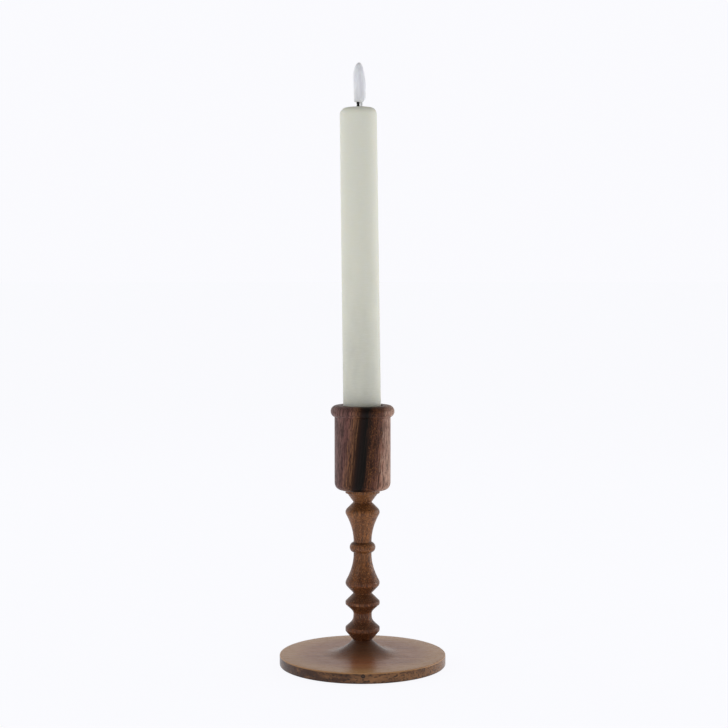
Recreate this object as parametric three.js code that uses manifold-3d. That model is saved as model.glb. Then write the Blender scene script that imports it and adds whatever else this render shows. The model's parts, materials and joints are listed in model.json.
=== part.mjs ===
// A turned wooden candlestick with an LED taper candle standing in its cup.
// Millimetres, +Z up. The origin is the centre of the felt pad's underside, on the table.
//
// The stick is three turned pieces of wood: a disc base with a raised boss, a baluster stem with
// a tenon at each end, and a cup bored for a candle. The stem is glued into the base and the cup,
// and a wood screw under the felt pad pulls its foot home. The candle is a wax sleeve on a plastic
// tube with two batteries in line, a circuit board, and an LED on a black wick inside a moulded
// flame. It stands loose in the cup, leaning a little. Its bottom cap twists off on two lugs, and
// carries the slide switch.
import * as THREE from "three";
import { mergeVertices } from "three/addons/utils/BufferGeometryUtils.js";
import Module from "manifold-3d";

const wasm = await Module();
wasm.setup();

// ---- Driving dimensions ---------------------------------------------------------------------

const glueLine = 0.05; // film of glue on the shoulders and round the tenons
const looseFit = 0.3; // clearance between pieces that are pushed or laid together
const leastWall = 0.6; // a hole's rounding never eats more of a wall than leaves this
const cutOver = 1; // how far a cutting tool runs past the face it enters

const felt = { radius: 44, thickness: 1.5, recess: 1.0 };

const base = {
  radius: 49.65,
  edgeHeight: 6.3, // wood thickness at the rim
  edgeSoftness: 0.7, // how far the worn rim corners reach
  bossRadius: 5.7, // where the stem stands
  bossHeight: 8.5, // above the disc
  bossSpread: 18.5, // how far out from its top the boss runs before it lies flat
  bossSteepness: 4.4, // height of the steep upper part of the boss
  web: 5.5, // wood left under the stem's tenon
};

const screw = {
  radius: 1.5,
  length: 20,
  headRadius: 3,
  headHeight: 1.9,
  threadPitch: 1.6,
  threadDepth: 0.35,
  tipRoom: 1, // between its point and the end of its pilot hole
  slotWidth: 0.8,
  slotDepth: 1.0,
};

// The stem's members from the foot up. Heights add up to the stem's length between shoulders.
const stem = {
  footTenonRadius: 3.8,
  topTenonRadius: 6,
  topTenonLength: 9,
  tenonChamfer: 0.6,
  ridgeRadius: 10.25, // the two square-edged ridges
  ridgeSoftness: 0.35,
  shoulderRadius: 10.93, // the two round shoulders, before they are rounded
  shoulderSoftness: 2.5,
  footConeHeight: 5.4,
  lowRidgeHeight: 2.2,
  coveHeight: 13.8,
  coveNeckRadius: 5.5,
  coveNeckHeight: 5.2, // height of the round middle of the cove
  midRidgeHeight: 1.8,
  lowerVBelow: 4.8, // the V groove under the lower shoulder: below and above its waist
  lowerVAbove: 5.8,
  waistRadius: 5.4,
  waistSoftness: 0.3,
  lowerFlareHeight: 17.9, // round shoulder to neck
  upperFlareHeight: 18.5,
  flareTangent: 10.2, // how far up its tangent the flare aims before it turns along the neck
  neckRadius: 5.37,
  neckHeight: 0.8, // plain stretch under the bead
  beadHeight: 6.3,
  beadRadius: 7.7,
  upperVBelow: 5.5, // the V groove over the upper shoulder
  upperVAbove: 5.34,
  collarConeRadius: 9.25,
  collarRadius: 10.25,
  collarHeight: 1.9,
};

const cup = {
  wall: 4.8,
  floor: 4.2, // wood between the bore and the stem's tenon
  depth: 37.3, // of the bore
  footSoftness: 5,
  beadRadius: 3.6,
  beadProjection: 2.3, // beyond the wall
  lipSoftness: 0.7,
};

const socketClearance = 0.6; // round the candle, in the bore

const battery = { radius: 7.25, length: 50.5, nubRadius: 2.75, nubHeight: 1.0, edge: 0.5 };
const batteryRoom = 0.75; // round a battery, in the tube

const tube = { wall: 1.0, shelf: 2.0, shelfHoleRadius: 2.0 };

const wax = {
  wall: 2.0,
  taper: 0.35, // the candle is thinner at the top by this much in radius
  topThickness: 4.0,
  topSoftness: 6.2,
  length: 204.7,
  wickHoleClearance: 0.35,
};

const cap = {
  height: 8,
  floor: 2.2,
  spigotHeight: 6.5,
  spigotWall: 1.1,
  lugWidthDeg: 24,
  lugHeight: 1.8,
  lugLift: 2.6, // from the cap's shoulder to the lug
  slotEaseDeg: 4, // play at each end of a lug's slot
  edge: 0.6,
};
const capTwistDeg = 40; // locked to free

const switchKnob = { width: 2.4, length: 3.4, height: 1.9, travel: 2.0, recess: 0.2 };

// A conical spring: the taper is from its widest turn to its least.
const spring = { wire: 0.35, turns: 5, taper: 2.4 };

// The plate is smaller than the battery by its inset all round.
const contact = { inset: 1.75, thickness: 0.5, pinRadius: 1.1, pinHeight: 6 };

const board = { height: 24, thickness: 1.2, lift: 5, room: 0.6 }; // room to the tube at its edges
const chip = { width: 4, height: 5, thickness: 1.4 };

// A wire runs straight for its lead under the holder.
const wire = { radius: 0.4, spread: 2.4, bow: 1.5, lead: 3 };

const holder = { height: 8, flange: 1.6, seatWidth: 1 };

const wick = { radius: 0.93, visible: 3.1, intoFlame: 4.0, flangeRadius: 2.6, flangeHeight: 1.4 };

const led = { radius: 0.9, height: 2.6 };

const flame = {
  height: 23.1,
  radius: 3.62,
  footRadius: 3.35,
  footSoftness: 1.4,
  bellyShare: 0.5, // how far up it is widest, and starts to close in as half an ellipse
  offset: 1.03, // the flame stands this far over from the wick
  dip: 0.45, // and comes back by this much near its top
  dipShare: 0.8,
  dipWidth: 0.4,
  room: 0.35, // round the wick and the LED
  legRadius: 0.7, // a clear leg beside the wick, down to the wax
  legOffset: 2.0,
};

const lean = { angleDeg: 0.73, shift: 0.15 }; // how the candle stands in its loose socket

const fineSegments = 48;
const mediumSegments = 32;
const smallSegments = 16;
const curveSteps = 3; // points on each curve of a turned outline

// ---- Sizes and levels that follow ---------------------------------------------------------------

const tubeInner = battery.radius + batteryRoom;
const tubeOuter = tubeInner + tube.wall;
const waxInner = tubeOuter + looseFit;
const candleRadius = waxInner + wax.wall;
const boreRadius = candleRadius + socketClearance;
const cupRadius = boreRadius + cup.wall;
const cupHeight = cup.depth + cup.floor + stem.topTenonLength + glueLine;

const woodBottom = felt.thickness - felt.recess;
const recessTop = felt.thickness;
const discTop = woodBottom + base.edgeHeight;
const bossTop = discTop + base.bossHeight;
const mortiseFloor = recessTop + base.web;
const stemFoot = bossTop + glueLine;

// The heights of the stem's corners, each a step above the one before.
const stemLevels = (() => {
  let height = stemFoot;
  const step = (rise) => (height += rise);
  return {
    lowRidgeBottom: step(stem.footConeHeight),
    lowRidgeTop: step(stem.lowRidgeHeight),
    midRidgeBottom: step(stem.coveHeight),
    midRidgeTop: step(stem.midRidgeHeight),
    lowerWaist: step(stem.lowerVBelow),
    lowerShoulder: step(stem.lowerVAbove),
    neckBottom: step(stem.lowerFlareHeight),
    beadBottom: step(stem.neckHeight),
    beadTop: step(stem.beadHeight),
    upperShoulder: step(stem.upperFlareHeight),
    upperWaist: step(stem.upperVBelow),
    collarBottom: step(stem.upperVAbove),
    collarTop: step(stem.collarHeight),
  };
})();

const cupBottom = stemLevels.collarTop + glueLine;
const cupTop = cupBottom + cupHeight;
const socketFloor = cupTop - cup.depth;

// Heights inside the candle, from its own underside.
const capShoulder = cap.height - looseFit;
const spigotTop = capShoulder + cap.spigotHeight;
const springBottom = cap.floor + looseFit;
const lowerBattery = spigotTop + looseFit;
const spigotRadius = tubeInner - looseFit;
const wellRadius = spigotRadius - cap.spigotWall;
const springRadius = wellRadius - spring.wire - looseFit;
const springRise = lowerBattery - looseFit - springBottom - 2 * spring.wire;
const upperBattery = lowerBattery + battery.length + looseFit;
const contactBottom = upperBattery + battery.length + looseFit;
const shelfBottom = contactBottom + contact.thickness + looseFit;
const waxTop = cap.height + wax.length;
const tubeTop = waxTop - wax.topThickness - holder.flange - 2 * looseFit;
const wickFoot = tubeTop + looseFit + holder.flange - wick.flangeHeight;
const flameFoot = waxTop + wick.visible;
const holderBore = wick.flangeRadius + looseFit;

// ---- Shaping helpers ------------------------------------------------------------------------

const radians = THREE.MathUtils.degToRad;

// The point `reach` along the way from `from` to `to`.
function along(from, to, reach) {
  const way = to.clone().sub(from);
  return from.clone().add(way.setLength(Math.min(reach, way.length() / 2)));
}

// Carries an outline up to a corner and round it towards the next point, softened over `reach`.
function softCorner(outline, corner, next, reach) {
  const before = along(corner, outline.currentPoint, reach);
  const after = along(corner, next, reach);
  outline.lineTo(before.x, before.y);
  outline.quadraticCurveTo(corner.x, corner.y, after.x, after.y);
}

const at = (radius, height) => new THREE.Vector2(radius, height);

// A solid of revolution about +Z from an outline of (radius, height) points. The outline starts and
// ends on the axis, or closes on itself.
function turned(outline, segments) {
  const points = outline.getPoints ? outline.getPoints(curveSteps) : outline;
  const kept = points.filter((p, i) => i === 0 || p.distanceTo(points[i - 1]) > 1e-4);
  const onAxis = kept[0].x === 0;
  const outwards = THREE.ShapeUtils.area(onAxis ? kept : kept.slice(0, -1)) > 0;
  const profile = outwards ? kept : kept.reverse();
  return new THREE.LatheGeometry(profile, segments).rotateX(Math.PI / 2);
}

function block(sizeX, sizeY, sizeZ, x, y, z) {
  return new THREE.BoxGeometry(sizeX, sizeY, sizeZ).translate(x, y, z);
}

// A sector of a ring, `height` tall, centred on angle `middleDeg`.
function ringSector(inner, outer, middleDeg, widthDeg, bottom, height) {
  const from = radians(middleDeg - widthDeg / 2);
  const to = radians(middleDeg + widthDeg / 2);
  const shape = new THREE.Shape();
  shape.absarc(0, 0, outer, from, to, false);
  shape.absarc(0, 0, inner, to, from, true);
  shape.closePath();
  const settings = { depth: height, bevelEnabled: false, curveSegments: 6 };
  return new THREE.ExtrudeGeometry(shape, settings).translate(0, 0, bottom);
}

// A round bar along a curve, closed at both ends.
function bar(curve, radius, steps) {
  const section = new THREE.Shape().absarc(0, 0, radius, 0, Math.PI * 2, false);
  const settings = { extrudePath: curve, steps, bevelEnabled: false, curveSegments: 4 };
  return new THREE.ExtrudeGeometry(section, settings);
}

function toSolid(geometry) {
  const bare = new THREE.BufferGeometry();
  bare.setAttribute("position", geometry.getAttribute("position"));
  if (geometry.index) bare.setIndex(geometry.index);
  const merged = mergeVertices(bare, 1e-4);
  return new wasm.Manifold(
    new wasm.Mesh({
      numProp: 3,
      vertProperties: merged.attributes.position.array,
      triVerts: new Uint32Array(merged.index.array),
    }),
  );
}

function toGeometry(solid) {
  const mesh = solid.getMesh();
  const geometry = new THREE.BufferGeometry();
  geometry.setAttribute("position", new THREE.BufferAttribute(mesh.vertProperties, 3));
  geometry.setIndex(new THREE.BufferAttribute(mesh.triVerts, 1));
  geometry.computeVertexNormals();
  return geometry;
}

const cutFrom = (geometry, ...cutters) =>
  toGeometry(cutters.reduce((left, cutter) => left.subtract(toSolid(cutter)), toSolid(geometry)));

const joined = (geometry, ...extras) =>
  toGeometry(extras.reduce((sum, extra) => sum.add(toSolid(extra)), toSolid(geometry)));

// ---- The candlestick ----------------------------------------------------------------------------

function feltPad() {
  const outline = [
    at(0, 0),
    at(felt.radius, 0),
    at(felt.radius, felt.thickness - glueLine),
    at(0, felt.thickness - glueLine),
  ];
  return turned(outline, fineSegments);
}

// A disc with softened rims and a boss that sweeps up to the stem. Underneath are the felt's recess
// and the screw's countersink, and on top the mortise for the stem's tenon.
function baseDisc() {
  const recess = felt.radius + looseFit;
  const bore = screw.radius + looseFit;
  const sink = screw.headRadius + looseFit;
  const mortise = stem.footTenonRadius + glueLine;
  const run = at(base.bossRadius + base.bossSpread, discTop);
  const outline = new THREE.Path([at(bore, mortiseFloor), at(bore, recessTop + screw.headHeight)]);
  outline.lineTo(sink, recessTop);
  outline.lineTo(recess, recessTop);
  outline.lineTo(recess, woodBottom);
  softCorner(outline, at(base.radius, woodBottom), at(base.radius, discTop), base.edgeSoftness);
  softCorner(outline, at(base.radius, discTop), run, base.edgeSoftness);
  outline.lineTo(run.x, run.y);
  outline.bezierCurveTo(
    base.bossRadius + base.bossSpread / 2,
    discTop,
    base.bossRadius + base.bossSteepness,
    bossTop - base.bossSteepness,
    base.bossRadius,
    bossTop,
  );
  outline.lineTo(mortise, bossTop);
  outline.lineTo(mortise, mortiseFloor);
  outline.lineTo(bore, mortiseFloor);
  return turned(outline, fineSegments);
}

// A countersunk wood screw with a cross slot. Its thread is a row of rings.
function baseScrew() {
  const tip = recessTop + screw.length;
  const root = screw.radius - screw.threadDepth;
  const threadStart = recessTop + screw.headHeight + screw.threadPitch;
  const outline = [at(0, recessTop), at(screw.headRadius, recessTop)];
  outline.push(at(root, recessTop + screw.headHeight), at(root, threadStart));
  const room = tip - threadStart - 2 * screw.radius;
  for (let ring = 0; ring < Math.floor(room / screw.threadPitch); ring++) {
    const height = threadStart + ring * screw.threadPitch;
    outline.push(at(screw.radius, height + screw.threadPitch / 2), at(root, height + screw.threadPitch));
  }
  outline.push(at(0, tip));
  const slotLength = 1.2 * screw.headRadius;
  const slotTall = screw.slotDepth + cutOver;
  const slotMiddle = recessTop - cutOver + slotTall / 2;
  return cutFrom(
    turned(outline, smallSegments),
    block(slotLength, screw.slotWidth, slotTall, 0, 0, slotMiddle),
    block(screw.slotWidth, slotLength, slotTall, 0, 0, slotMiddle),
  );
}

// The baluster: square-edged ridges, a cove, V grooves, and two long flares that meet at a bead.
function turnedStem() {
  const level = stemLevels;
  const pilot = screw.radius + glueLine;
  const pilotTop = recessTop + screw.length + screw.tipRoom;
  const tenonFoot = mortiseFloor + glueLine;
  const tenonTop = level.collarTop + stem.topTenonLength;
  const outline = new THREE.Path([at(0, pilotTop), at(pilot, pilotTop), at(pilot, tenonFoot)]);
  const foot = stem.footTenonRadius;
  softCorner(outline, at(foot, tenonFoot), at(foot, stemFoot), stem.tenonChamfer);
  outline.lineTo(foot, stemFoot);
  outline.lineTo(base.bossRadius, stemFoot);

  const lowRidge = [at(stem.ridgeRadius, level.lowRidgeBottom), at(stem.ridgeRadius, level.lowRidgeTop)];
  const midRidge = [at(stem.ridgeRadius, level.midRidgeBottom), at(stem.ridgeRadius, level.midRidgeTop)];
  const coveMiddle = (level.lowRidgeTop + level.midRidgeBottom) / 2;
  const coveFoot = at(stem.coveNeckRadius, coveMiddle - stem.coveNeckHeight / 2);
  const coveHead = at(stem.coveNeckRadius, coveMiddle + stem.coveNeckHeight / 2);
  softCorner(outline, lowRidge[0], lowRidge[1], stem.ridgeSoftness);
  softCorner(outline, lowRidge[1], coveFoot, stem.ridgeSoftness);
  softCorner(outline, coveFoot, coveHead, stem.coveNeckHeight / 2);
  softCorner(outline, coveHead, midRidge[0], stem.coveNeckHeight / 2);
  softCorner(outline, midRidge[0], midRidge[1], stem.ridgeSoftness);

  const lowerWaist = at(stem.waistRadius, level.lowerWaist);
  const lowerShoulder = at(stem.shoulderRadius, level.lowerShoulder);
  const lowerAim = at(stem.neckRadius, level.lowerShoulder + stem.flareTangent);
  softCorner(outline, midRidge[1], lowerWaist, stem.ridgeSoftness);
  softCorner(outline, lowerWaist, lowerShoulder, stem.waistSoftness);
  softCorner(outline, lowerShoulder, lowerAim, stem.shoulderSoftness);
  outline.quadraticCurveTo(lowerAim.x, lowerAim.y, stem.neckRadius, level.neckBottom);
  outline.lineTo(stem.neckRadius, level.beadBottom);

  // The bead is the arc through its two ends on the neck and its widest point.
  const rise = stem.beadRadius - stem.neckRadius;
  const half = (level.beadTop - level.beadBottom) / 2;
  const beadArc = (rise * rise + half * half) / (2 * rise);
  const swing = Math.asin(Math.min(1, half / beadArc));
  const beadMiddle = (level.beadTop + level.beadBottom) / 2;
  outline.absarc(stem.beadRadius - beadArc, beadMiddle, beadArc, -swing, swing, false);

  const upperShoulder = at(stem.shoulderRadius, level.upperShoulder);
  const upperAim = at(stem.neckRadius, level.upperShoulder - stem.flareTangent);
  const upperWaist = at(stem.waistRadius, level.upperWaist);
  const collarFoot = at(stem.collarConeRadius, level.collarBottom);
  const flareEnd = along(upperShoulder, upperAim, stem.shoulderSoftness);
  outline.quadraticCurveTo(upperAim.x, upperAim.y, flareEnd.x, flareEnd.y);
  const past = along(upperShoulder, upperWaist, stem.shoulderSoftness);
  outline.quadraticCurveTo(upperShoulder.x, upperShoulder.y, past.x, past.y);
  softCorner(outline, upperWaist, collarFoot, stem.waistSoftness);
  outline.lineTo(collarFoot.x, collarFoot.y);
  softCorner(
    outline,
    at(stem.collarRadius, level.collarBottom),
    at(stem.collarRadius, level.collarTop),
    stem.ridgeSoftness,
  );
  outline.lineTo(stem.collarRadius, level.collarTop);
  outline.lineTo(stem.topTenonRadius, level.collarTop);
  softCorner(outline, at(stem.topTenonRadius, tenonTop), at(0, tenonTop), stem.tenonChamfer);
  outline.lineTo(0, tenonTop);
  return turned(outline, mediumSegments);
}

// A straight cup with a round bead at its lip, bored for the candle and mortised for the stem.
function candleCup() {
  const mortise = stem.topTenonRadius + glueLine;
  const mortiseTop = cupBottom + stem.topTenonLength;
  const beadMiddle = cupTop - cup.beadRadius;
  const beadCentre = cupRadius + cup.beadProjection - cup.beadRadius;
  const start = -Math.acos(Math.min(1, (cupRadius - beadCentre) / cup.beadRadius));
  const wallTop = at(cupRadius, beadMiddle + cup.beadRadius * Math.sin(start));
  const lip = at(boreRadius, cupTop);
  const outline = new THREE.Path([at(0, mortiseTop), at(mortise, mortiseTop), at(mortise, cupBottom)]);
  softCorner(outline, at(cupRadius, cupBottom), wallTop, cup.footSoftness);
  outline.lineTo(wallTop.x, wallTop.y);
  outline.absarc(beadCentre, beadMiddle, cup.beadRadius, start, Math.PI / 2, false);
  const softness = Math.min(cup.lipSoftness, beadCentre - boreRadius - leastWall);
  softCorner(outline, lip, at(boreRadius, socketFloor), softness);
  outline.lineTo(boreRadius, socketFloor);
  outline.lineTo(0, socketFloor);
  return turned(outline, fineSegments);
}

// ---- The candle, in its own frame: +Z up its axis, from its underside ---------------------------

// The wax, a closed top with the wick's hole, drawn a little thinner towards the top.
function waxSleeve() {
  const hole = wick.radius + wax.wickHoleClearance;
  const topRadius = candleRadius - wax.taper;
  const underTop = waxTop - wax.topThickness;
  const outline = new THREE.Path([at(waxInner, cap.height), at(candleRadius, cap.height)]);
  softCorner(outline, at(topRadius, waxTop), at(hole, waxTop), wax.topSoftness);
  outline.lineTo(hole, waxTop);
  outline.lineTo(hole, underTop);
  outline.lineTo(waxInner, underTop);
  outline.lineTo(waxInner, cap.height);
  return turned(outline, fineSegments);
}

// The plastic tube: a shelf over the batteries, and two L slots at the bottom for the cap's lugs.
function bodyTube() {
  const bottom = cap.height;
  const shelfTop = shelfBottom + tube.shelf;
  const outline = [
    at(tubeInner, bottom),
    at(tubeOuter, bottom),
    at(tubeOuter, tubeTop),
    at(tubeInner, tubeTop),
    at(tubeInner, shelfTop),
    at(tube.shelfHoleRadius, shelfTop),
    at(tube.shelfHoleRadius, shelfBottom),
    at(tubeInner, shelfBottom),
    at(tubeInner, bottom),
  ];
  const lugBottom = capShoulder + cap.lugLift;
  const slots = [0, 180].flatMap((side) => {
    const inner = tubeInner - cutOver;
    const outer = tubeOuter + cutOver;
    const across = capTwistDeg + cap.lugWidthDeg + 2 * cap.slotEaseDeg;
    const entry = cap.lugWidthDeg + 2 * cap.slotEaseDeg;
    const low = lugBottom - looseFit;
    const tall = cap.lugHeight + 2 * looseFit;
    return [
      ringSector(inner, outer, side + capTwistDeg / 2, across, low, tall),
      ringSector(inner, outer, side + capTwistDeg, entry, bottom - cutOver, low + tall - bottom + cutOver),
    ];
  });
  return cutFrom(turned(outline, mediumSegments), ...slots);
}

function batteryCell(bottom) {
  const shoulder = bottom + battery.length - battery.nubHeight;
  const rim = at(battery.radius, shoulder);
  const outline = new THREE.Path([at(0, bottom)]);
  softCorner(outline, at(battery.radius, bottom), rim, battery.edge);
  softCorner(outline, rim, at(battery.nubRadius, shoulder), battery.edge);
  outline.lineTo(battery.nubRadius, shoulder);
  outline.lineTo(battery.nubRadius, bottom + battery.length);
  outline.lineTo(0, bottom + battery.length);
  return turned(outline, smallSegments);
}

// A plate on the upper battery's nub, with a pin up through the shelf to the board.
function positiveContact() {
  const radius = battery.radius - contact.inset;
  const pinTop = shelfBottom + tube.shelf + contact.pinHeight;
  const plateTop = contactBottom + contact.thickness;
  const outline = [
    at(0, contactBottom),
    at(radius, contactBottom),
    at(radius, plateTop),
    at(contact.pinRadius, plateTop),
    at(contact.pinRadius, pinTop),
    at(0, pinTop),
  ];
  return turned(outline, smallSegments);
}

const boardBottom = shelfBottom + tube.shelf + board.lift;
const boardSide = contact.pinRadius + looseFit; // the board stands beside the pin

function circuitBoard() {
  const width = 2 * Math.sqrt((tubeInner - board.room) ** 2 - (boardSide + board.thickness) ** 2);
  const middle = boardBottom + board.height / 2;
  return block(width, board.thickness, board.height, 0, boardSide + board.thickness / 2, middle);
}

function timerChip() {
  const y = boardSide + board.thickness + looseFit / 3 + chip.thickness / 2;
  return block(chip.width, chip.thickness, chip.height, 0, y, boardBottom + board.height / 2);
}

// A lead from the top of the board to the foot of the wick, on one side. It bows out, then runs
// straight up through the holder's bore.
function ledWire(side) {
  const foot = boardBottom + board.height + looseFit;
  const head = wickFoot - looseFit;
  const straight = tubeTop - holder.height - wire.lead;
  const y = boardSide + board.thickness / 2;
  const x = side * (wick.flangeRadius / 2);
  const curve = new THREE.CatmullRomCurve3([
    new THREE.Vector3(side * wire.spread, y, foot),
    new THREE.Vector3(side * (wire.spread + wire.bow), y, foot + (straight - foot) / 3),
    new THREE.Vector3(x, 0, straight),
    new THREE.Vector3(x, 0, head),
  ]);
  return bar(curve, wire.radius, 20);
}

// The plug in the top of the tube, with the wick's foot let into its flange.
function flameHolder() {
  const bottom = tubeTop - holder.height;
  const flangeTop = tubeTop + looseFit + holder.flange;
  const seat = flangeTop - wick.flangeHeight - looseFit;
  const outline = [
    at(holderBore - holder.seatWidth, bottom),
    at(tubeInner - looseFit, bottom),
    at(tubeInner - looseFit, tubeTop + looseFit),
    at(tubeOuter, tubeTop + looseFit),
    at(tubeOuter, flangeTop),
    at(holderBore, flangeTop),
    at(holderBore, seat),
    at(holderBore - holder.seatWidth, seat),
    at(holderBore - holder.seatWidth, bottom),
  ];
  return turned(outline, mediumSegments);
}

function blackWick() {
  const top = flameFoot + wick.intoFlame;
  const outline = [
    at(0, wickFoot),
    at(wick.flangeRadius, wickFoot),
    at(wick.flangeRadius, wickFoot + wick.flangeHeight),
    at(wick.radius, wickFoot + wick.flangeHeight),
    at(wick.radius, top),
    at(0, top),
  ];
  return turned(outline, smallSegments);
}

function ledLamp() {
  const bottom = flameFoot + wick.intoFlame + looseFit / 3;
  const shoulder = at(led.radius, bottom + led.height - led.radius);
  const outline = new THREE.Path([at(0, bottom), at(led.radius, bottom), shoulder]);
  outline.absarc(0, shoulder.y, led.radius, 0, Math.PI / 2, false);
  return turned(outline, smallSegments);
}

// How far the flame's middle line stands over to one side at a share of its height.
function flameSway(share) {
  const off = Math.min(1, Math.abs(share - flame.dipShare) / flame.dipWidth);
  return flame.offset - (flame.dip * (1 + Math.cos(Math.PI * off))) / 2;
}

// A leaf-shaped bulb, round in section, standing over to one side on a leg beside the wick, and
// hollow where the LED stands.
function flameBulb() {
  const belly = at(flame.radius, flame.bellyShare * flame.height);
  const outline = new THREE.Path([at(0, 0)]);
  softCorner(outline, at(flame.footRadius, 0), belly, flame.footSoftness);
  outline.lineTo(belly.x, belly.y);
  outline.absellipse(0, belly.y, flame.radius, flame.height - belly.y, 0, Math.PI / 2, false);
  const fine = outline.getPoints(2 * curveSteps);
  const geometry = turned(fine, smallSegments);
  const spots = geometry.getAttribute("position");
  for (let i = 0; i < spots.count; i++) {
    spots.setX(i, spots.getX(i) + flameSway(spots.getZ(i) / flame.height));
  }
  const ledTop = wick.intoFlame + led.height + looseFit;
  const room = Math.max(led.radius, wick.radius) + flame.room;
  const hollow = [
    at(0, -cutOver),
    at(room, -cutOver),
    at(room, ledTop),
    at(0, ledTop + flame.room),
  ];
  const legFoot = looseFit - wick.visible;
  const legTop = flame.footSoftness;
  const legSides = [
    at(0, legFoot),
    at(flame.legRadius, legFoot),
    at(flame.legRadius, legTop),
    at(0, legTop),
  ];
  const leg = turned(legSides, smallSegments).translate(flame.legOffset, 0, 0);
  return cutFrom(joined(geometry, leg), turned(hollow, smallSegments)).translate(0, 0, flameFoot);
}

// The bottom cap: a cup for the spring, two lugs on its spigot, and the switch's slot in its floor.
function batteryCap() {
  const rim = at(candleRadius, capShoulder);
  const outline = new THREE.Path([at(0, 0)]);
  softCorner(outline, at(candleRadius, 0), rim, cap.edge);
  outline.lineTo(rim.x, rim.y);
  outline.lineTo(spigotRadius, capShoulder);
  outline.lineTo(spigotRadius, spigotTop);
  outline.lineTo(wellRadius, spigotTop);
  outline.lineTo(wellRadius, cap.floor);
  outline.lineTo(0, cap.floor);
  const lugBottom = capShoulder + cap.lugLift;
  const lugInner = spigotRadius - cap.spigotWall / 2;
  const lugs = [0, 180].map((side) =>
    ringSector(lugInner, tubeOuter - looseFit, side, cap.lugWidthDeg, lugBottom, cap.lugHeight),
  );
  const slotLength = switchKnob.length + switchKnob.travel + 2 * looseFit;
  const slot = block(
    switchKnob.width + 2 * looseFit,
    slotLength,
    cap.floor + 2 * cutOver,
    0,
    switchKnob.travel / 2,
    cap.floor / 2,
  );
  return cutFrom(joined(turned(outline, fineSegments), ...lugs), slot);
}

function contactSpring() {
  const turnsOf = (share) => {
    const angle = share * spring.turns * Math.PI * 2;
    const radius = springRadius - spring.taper * share;
    const height = springBottom + spring.wire + share * springRise;
    return new THREE.Vector3(radius * Math.cos(angle), radius * Math.sin(angle), height);
  };
  const steps = 16 * spring.turns;
  const points = Array.from({ length: steps + 1 }, (_, i) => turnsOf(i / steps));
  return bar(new THREE.CatmullRomCurve3(points), spring.wire, steps);
}

// The knob stands recessed in the cap's floor, at the "off" end of its slot.
function slideKnob() {
  const middle = switchKnob.recess + switchKnob.height / 2;
  const body = block(switchKnob.width, switchKnob.length, switchKnob.height, 0, 0, middle);
  const groove = block(
    switchKnob.width + cutOver,
    switchKnob.length / 3,
    2 * switchKnob.recess,
    0,
    0,
    switchKnob.recess,
  );
  return cutFrom(body, groove);
}

// ---- Materials and assembly ---------------------------------------------------------------------

const material = (color, roughness, metalness = 0) =>
  new THREE.MeshStandardMaterial({ color, roughness, metalness });

const darkWalnut = material("#3c251c", 0.5);
const stemWood = material("#6e4b30", 0.5);
const baseWood = material("#6f5443", 0.45);
const greyFelt = material("#3b3a38", 1.0);
const steel = material("#b9bcc0", 0.35, 1);
const brass = material("#c9a55c", 0.35, 1);
const ivoryWax = material("#d6d5c6", 0.55);
const whitePlastic = material("#e9e6dc", 0.5);
const milkyPlastic = material("#dcdce2", 0.35);
const blackPlastic = material("#141414", 0.6);
const batteryJacket = material("#4a5a52", 0.4);
const greenBoard = material("#2c6a45", 0.5);
const redWire = material("#a8322a", 0.5);

function add(group, name, geometry, finish) {
  const mesh = new THREE.Mesh(geometry, finish);
  mesh.name = name;
  group.add(mesh);
}

const candlestick = new THREE.Group();
add(candlestick, "felt_pad", feltPad(), greyFelt);
add(candlestick, "base_disc", baseDisc(), baseWood);
add(candlestick, "base_screw", baseScrew(), steel);
add(candlestick, "turned_stem", turnedStem(), stemWood);
add(candlestick, "candle_cup", candleCup(), darkWalnut);

// The candle stands on the bore's floor, its foot a little to one side and its top leaning back.
const candle = new THREE.Group();
candle.position.set(lean.shift, 0, socketFloor + looseFit);
candle.rotation.y = -radians(lean.angleDeg);
add(candle, "wax_sleeve", waxSleeve(), ivoryWax);
add(candle, "body_tube", bodyTube(), whitePlastic);
add(candle, "lower_battery", batteryCell(lowerBattery), batteryJacket);
add(candle, "upper_battery", batteryCell(upperBattery), batteryJacket);
add(candle, "positive_contact", positiveContact(), brass);
add(candle, "circuit_board", circuitBoard(), greenBoard);
add(candle, "timer_chip", timerChip(), blackPlastic);
add(candle, "led_wire_red", ledWire(-1), redWire);
add(candle, "led_wire_black", ledWire(1), blackPlastic);
add(candle, "flame_holder", flameHolder(), whitePlastic);
add(candle, "wick", blackWick(), blackPlastic);
add(candle, "led", ledLamp(), milkyPlastic);
add(candle, "flame", flameBulb(), milkyPlastic);
add(candle, "battery_cap", batteryCap(), whitePlastic);
add(candle, "contact_spring", contactSpring(), steel);
add(candle, "switch_knob", slideKnob(), blackPlastic);
candlestick.add(candle);

export default candlestick;
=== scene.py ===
# %% [markdown]
# # A turned wooden candlestick with an LED candle
#
# This lesson dresses a finished CAD model. The model is loaded first and stays fixed: it says where
# every piece is and how it moves. Each piece that shows gets a finer surface here, turned or cut with
# Blender's own edit-mode tools, and a finish made of nodes. Nothing is moved or resized.

# %% Load the frame
import json
from math import atan2, cos, degrees, pi, radians, sin, sqrt, tau

import bpy
from mathutils import Matrix, Vector


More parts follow.
